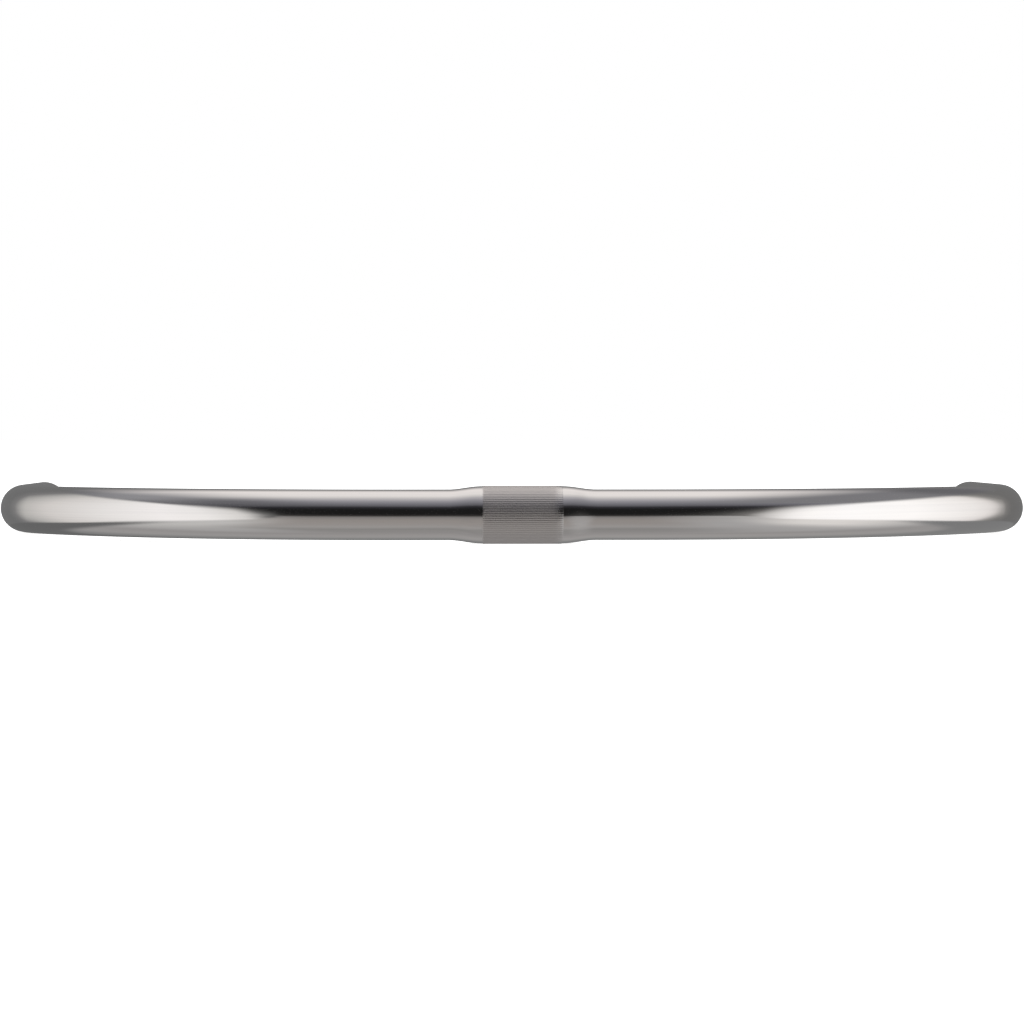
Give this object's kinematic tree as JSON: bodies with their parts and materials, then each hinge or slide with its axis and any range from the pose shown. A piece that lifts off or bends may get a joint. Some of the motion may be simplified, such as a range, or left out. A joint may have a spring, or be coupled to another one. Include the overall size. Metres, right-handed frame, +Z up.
{
  "type": "swept-back bicycle handlebar",
  "caption": "Flat swept-back bicycle handlebar: bent tube with a knurled bulged clamp seat and an expanding plug in each open end.",
  "frame": {"origin": "centre of the stem clamp seat, on the tube's axis", "axes": "+X along the clamp seat to the rider's right hand, +Y back to the rider along the grips, +Z up; the whole bar lies in the plane z = 0"},
  "size_m": [0.4902, 0.2177, 0.0254],
  "materials": {
    "tube_metal": "polished and clear anodised, low roughness; satin on the knurled seat",
    "cap_metal": "turned, polished dome",
    "expander_nylon": "moulded nylon, fine matt texture",
    "wedge_brass": "turned, satin",
    "screw_steel": "zinc-plated steel"
  },
  "bodies": {
    "bar": {"bar_tube": "tube_metal"},
    "left_plug": {"left_plug_cap": "cap_metal", "left_plug_expander": "expander_nylon"},
    "left_screw": {"left_plug_screw": "screw_steel"},
    "left_wedge": {"left_plug_wedge": "wedge_brass"},
    "right_plug": {"right_plug_cap": "cap_metal", "right_plug_expander": "expander_nylon"},
    "right_screw": {"right_plug_screw": "screw_steel"},
    "right_wedge": {"right_plug_wedge": "wedge_brass"}
  },
  "joints": [
    {"name": "left_plug_pull", "type": "slide", "parent": "bar", "child": "left_plug", "axis": [0, 1, 0], "range_m": [0, 0.045]},
    {"name": "left_screw_turn", "type": "hinge", "parent": "left_plug", "child": "left_screw", "pos_m": [-0.234, 0.202, 0], "axis": [0, 1, 0], "range_deg": [0, 1800]},
    {"name": "left_wedge_draw", "type": "slide", "parent": "left_plug", "child": "left_wedge", "axis": [0, -1, 0], "range_m": [0, 0.004]},
    {"name": "right_plug_pull", "type": "slide", "parent": "bar", "child": "right_plug", "axis": [0, 1, 0], "range_m": [0, 0.045]},
    {"name": "right_screw_turn", "type": "hinge", "parent": "right_plug", "child": "right_screw", "pos_m": [0.234, 0.202, 0], "axis": [0, 1, 0], "range_deg": [0, 1800]},
    {"name": "right_wedge_draw", "type": "slide", "parent": "right_plug", "child": "right_wedge", "axis": [0, -1, 0], "range_m": [0, 0.004]}
  ],
  "couplings": [
    {"joint": "left_screw_turn", "follows": "left_wedge_draw", "rad_per_m": 7854},
    {"joint": "right_screw_turn", "follows": "right_wedge_draw", "rad_per_m": 7854}
  ]
}
